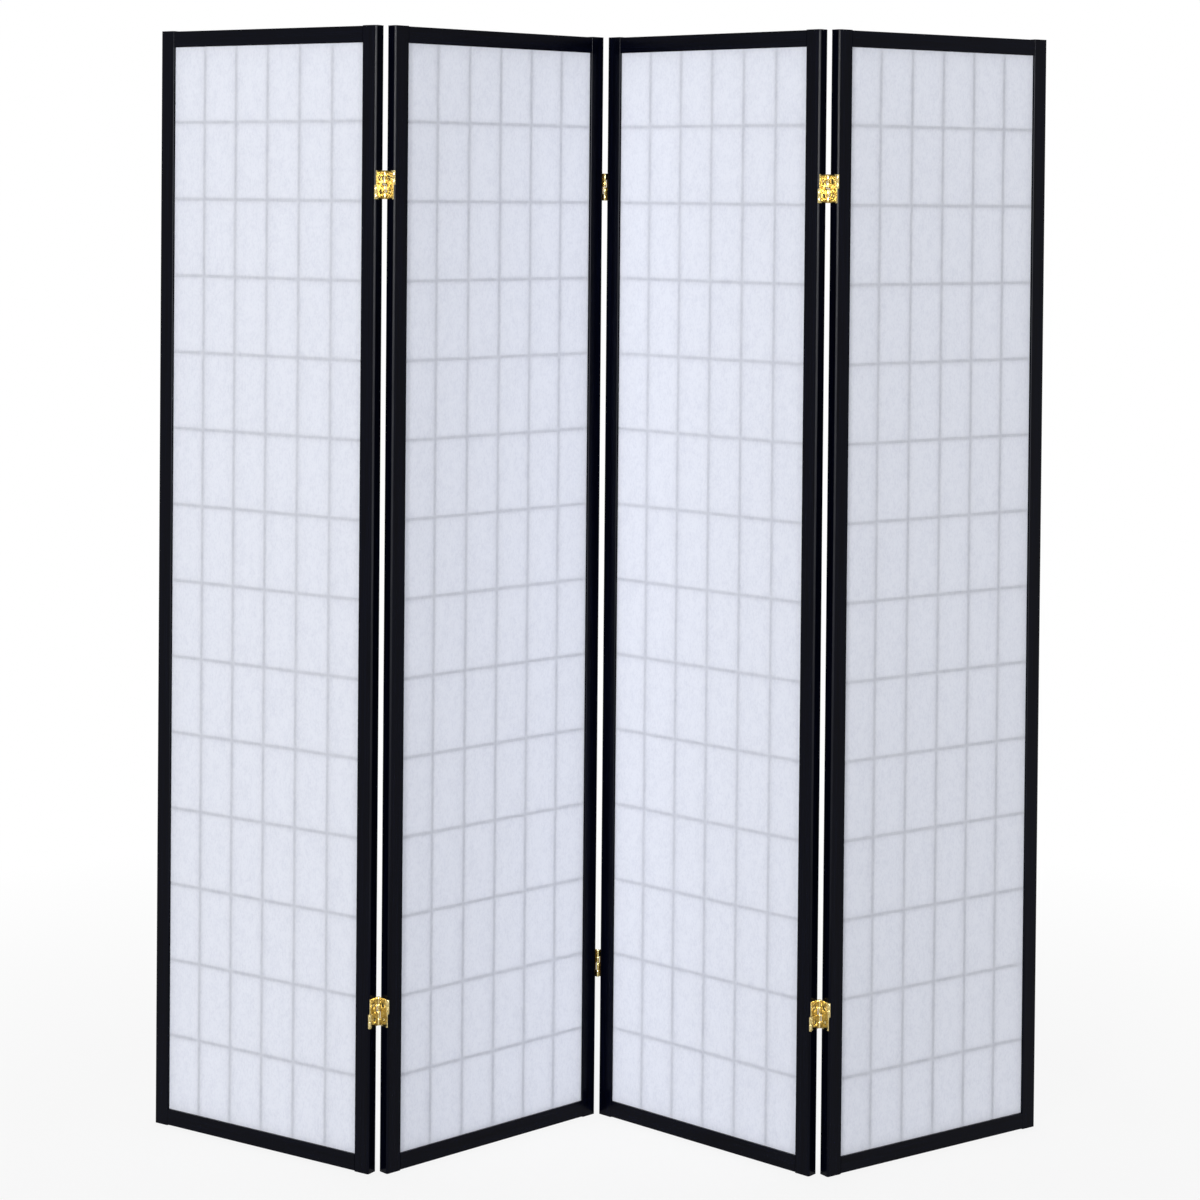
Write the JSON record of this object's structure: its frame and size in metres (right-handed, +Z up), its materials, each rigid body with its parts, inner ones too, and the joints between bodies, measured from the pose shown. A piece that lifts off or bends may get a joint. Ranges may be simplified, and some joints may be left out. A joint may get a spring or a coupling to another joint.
{
  "type": "folding screen",
  "caption": "Free-standing folding room divider: black wooden frames with white paper over a thin lattice, joined by brass two-way hinges.",
  "frame": {"origin": "on the floor, at the middle of the rectangle that the standing screen covers", "axes": "+Z up, +Y from the papered front towards the back, +X to the right as seen from the front, along the screen's spread"},
  "size_m": [1.4408, 0.3258, 1.784],
  "materials": {
    "black_wood": "black lacquer, satin",
    "paper": "matt fibrous paper that lets light through",
    "brass": "brass plated, bright"
  },
  "bodies": {
    "panel_1": {"hinge_1_2_left_pins": "brass", "hinge_1_2_left_plates": "brass", "hinge_1_2_lower_links": "brass", "panel_1_bottom_rail": "black_wood", "panel_1_lattice_crossbars": "black_wood", "panel_1_lattice_uprights": "black_wood", "panel_1_left_stile": "black_wood", "panel_1_paper": "paper", "panel_1_right_stile": "black_wood", "panel_1_top_rail": "black_wood"},
    "panel_2": {"hinge_1_2_right_pins": "brass", "hinge_1_2_right_plates": "brass", "hinge_1_2_upper_links": "brass", "hinge_2_3_left_pins": "brass", "hinge_2_3_left_plates": "brass", "hinge_2_3_upper_links": "brass", "panel_2_bottom_rail": "black_wood", "panel_2_lattice_crossbars": "black_wood", "panel_2_lattice_uprights": "black_wood", "panel_2_left_stile": "black_wood", "panel_2_paper": "paper", "panel_2_right_stile": "black_wood", "panel_2_top_rail": "black_wood"},
    "panel_3": {"hinge_2_3_lower_links": "brass", "hinge_2_3_right_pins": "brass", "hinge_2_3_right_plates": "brass", "hinge_3_4_left_pins": "brass", "hinge_3_4_left_plates": "brass", "hinge_3_4_lower_links": "brass", "panel_3_bottom_rail": "black_wood", "panel_3_lattice_crossbars": "black_wood", "panel_3_lattice_uprights": "black_wood", "panel_3_left_stile": "black_wood", "panel_3_paper": "paper", "panel_3_right_stile": "black_wood", "panel_3_top_rail": "black_wood"},
    "panel_4": {"hinge_3_4_right_pins": "brass", "hinge_3_4_right_plates": "brass", "hinge_3_4_upper_links": "brass", "panel_4_bottom_rail": "black_wood", "panel_4_lattice_crossbars": "black_wood", "panel_4_lattice_uprights": "black_wood", "panel_4_left_stile": "black_wood", "panel_4_paper": "paper", "panel_4_right_stile": "black_wood", "panel_4_top_rail": "black_wood"}
  },
  "joints": [
    {"name": "fold_1_2", "type": "hinge", "parent": "panel_2", "child": "panel_1", "pos_m": [-0.34556, -0.12927, 0.892], "axis": [0, 0, -1], "range_deg": [-75, 103]},
    {"name": "fold_2_3", "type": "hinge", "parent": "panel_2", "child": "panel_3", "pos_m": [0.00289, 0.14316, 0.892], "axis": [0, 0, -1], "range_deg": [-84, 94]},
    {"name": "fold_3_4", "type": "hinge", "parent": "panel_3", "child": "panel_4", "pos_m": [0.34161, -0.14126, 0.892], "axis": [0, 0, 1], "range_deg": [-76, 102]}
  ]
}
